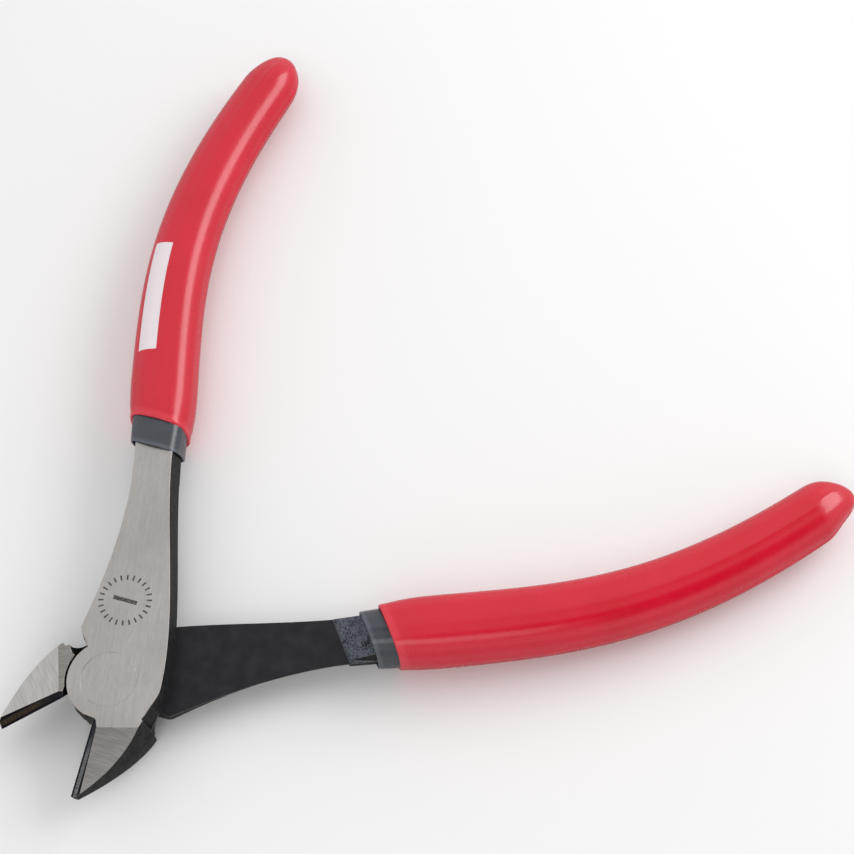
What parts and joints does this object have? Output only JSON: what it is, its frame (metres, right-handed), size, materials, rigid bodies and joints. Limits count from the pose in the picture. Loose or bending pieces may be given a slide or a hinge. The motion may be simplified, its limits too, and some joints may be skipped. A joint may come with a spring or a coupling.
{
  "type": "diagonal cutting pliers",
  "caption": "Lap-joint diagonal cutting pliers with ground steel jaws, a flush pivot rivet and curved double-dipped plastic grips, drawn open.",
  "frame": {"origin": "on the pivot axis, at the ground rear face of the head", "axes": "+Z along the pivot axis from the rear face of the head to its front face; +Y along the middle of the opening, towards the jaws; +X to the right seen from the front with the jaws up, so the rear lever's jaw is at +X and its handle at -X"},
  "size_m": [0.1552, 0.1378, 0.0124],
  "materials": {
    "steel": "ground flats and tapers, dark as-forged sides",
    "inner_sleeve": "gloss dipped",
    "grip": "gloss dipped"
  },
  "bodies": {
    "front": {"front_lever": "steel", "pivot_rivet": "steel", "front_inner_sleeve": "inner_sleeve", "front_grip": "grip"},
    "rear": {"rear_lever": "steel", "rear_inner_sleeve": "inner_sleeve", "rear_grip": "grip"}
  },
  "joints": [
    {"name": "pivot", "type": "hinge", "parent": "front", "child": "rear", "pos_m": [0, 0, 0], "axis": [0, 0, 1], "range_deg": [-1.5, 52]}
  ]
}
